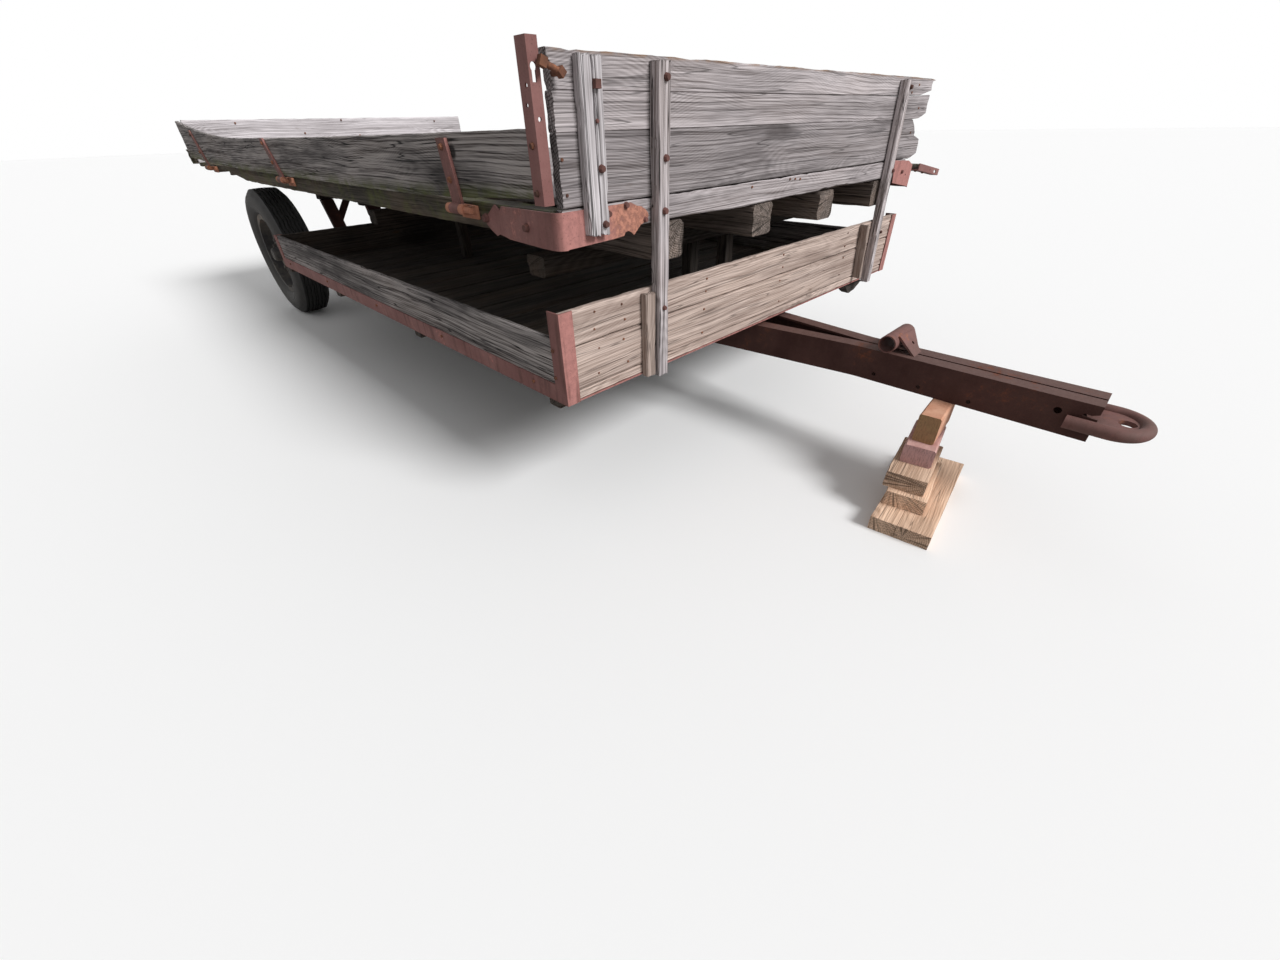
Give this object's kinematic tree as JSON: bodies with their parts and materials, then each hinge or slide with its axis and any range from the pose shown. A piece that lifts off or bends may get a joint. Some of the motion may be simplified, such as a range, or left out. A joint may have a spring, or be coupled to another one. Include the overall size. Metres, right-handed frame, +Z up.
{
  "type": "two-deck farm trailer wagon",
  "caption": "Old farm wagon with a planked upper deck, hinged drop sides, the right one open, a low front tray, one axle and a steel A-frame drawbar resting on blocks.",
  "frame": {"origin": "on the ground, below the middle of the overall outline", "axes": "+Z up, the drawbar points to -Y, +X is to the right seen from the front"},
  "size_m": [2.8988, 6.262, 1.426],
  "materials": {
    "grey_planks": "weathered, silver-grey hardwood",
    "side_planks": "weathered, dark grey hardwood",
    "mossy_timber": "weathered with moss and lichen",
    "bleached_timber": "sun-bleached square batten",
    "frame_timber": "rough-sawn hardwood in shade",
    "tray_planks": "warm tan-grey planks",
    "red_steel": "worn red-oxide primer",
    "maroon_steel": "dark maroon-brown, rusty",
    "rusty_iron": "orange-brown rust",
    "wheel_steel": "dull dark grey paint and dust",
    "tyre_rubber": "dusty black rubber",
    "orange_brick": "fired clay brick",
    "purple_brick": "hard-burnt brick",
    "block_timber": "dry softwood offcuts"
  },
  "bodies": {
    "base": {"deck_sills": "mossy_timber", "deck_bearers": "frame_timber", "deck_joists": "frame_timber", "deck_floorboards": "grey_planks", "deck_bolsters": "frame_timber", "deck_posts": "frame_timber", "headboard_upper_plank": "grey_planks", "headboard_lower_plank": "grey_planks", "headboard_strip": "grey_planks", "headboard_battens": "bleached_timber", "corner_plates": "red_steel", "tailboard": "grey_planks", "tail_timber": "mossy_timber", "latch_bolts": "rusty_iron", "tray_angle_frame": "red_steel", "tray_front_boards": "tray_planks", "tray_side_boards": "side_planks", "tray_rear_board": "side_planks", "tray_floorboards": "frame_timber", "tray_cross_members": "frame_timber", "tray_front_battens": "tray_planks", "drawbar_channels": "maroon_steel", "hitch_loop": "maroon_steel", "hitch_plate": "maroon_steel", "jack_pipe": "maroon_steel", "pipe_gusset": "maroon_steel", "axle": "maroon_steel", "chassis_struts": "maroon_steel", "stack_base_timber": "block_timber", "stack_block_lower": "block_timber", "stack_block_upper": "block_timber", "stack_brick_flat": "purple_brick", "stack_brick_edge": "orange_brick", "hinge_brackets_left": "rusty_iron", "hinge_brackets_right": "rusty_iron"},
    "drop_side_left": {"drop_side_plank_left": "side_planks", "drop_side_straps_left": "rusty_iron", "drop_side_post_left": "maroon_steel"},
    "wheel_left": {"tyre_left": "tyre_rubber", "rim_left": "wheel_steel", "hub_left": "wheel_steel"},
    "drop_side_right": {"drop_side_plank_right": "side_planks", "drop_side_straps_right": "rusty_iron", "drop_side_post_right": "maroon_steel"},
    "wheel_right": {"tyre_right": "tyre_rubber", "rim_right": "wheel_steel", "hub_right": "wheel_steel"}
  },
  "joints": [
    {"name": "wheel_left_spin", "type": "hinge", "parent": "base", "child": "wheel_left", "pos_m": [-1.17841, 2.209, 0.46], "axis": [1, 0, 0], "continuous": true},
    {"name": "drop_side_left_hinge", "type": "hinge", "parent": "base", "child": "drop_side_left", "pos_m": [-1.43441, 0, 1.056], "axis": [0, -1, 0], "range_deg": [0, 170]},
    {"name": "wheel_right_spin", "type": "hinge", "parent": "base", "child": "wheel_right", "pos_m": [0.82159, 2.209, 0.46], "axis": [1, 0, 0], "continuous": true},
    {"name": "drop_side_right_hinge", "type": "hinge", "parent": "base", "child": "drop_side_right", "pos_m": [1.07759, 0, 1.011], "axis": [0, 1, 0], "range_deg": [-98, 72]}
  ]
}
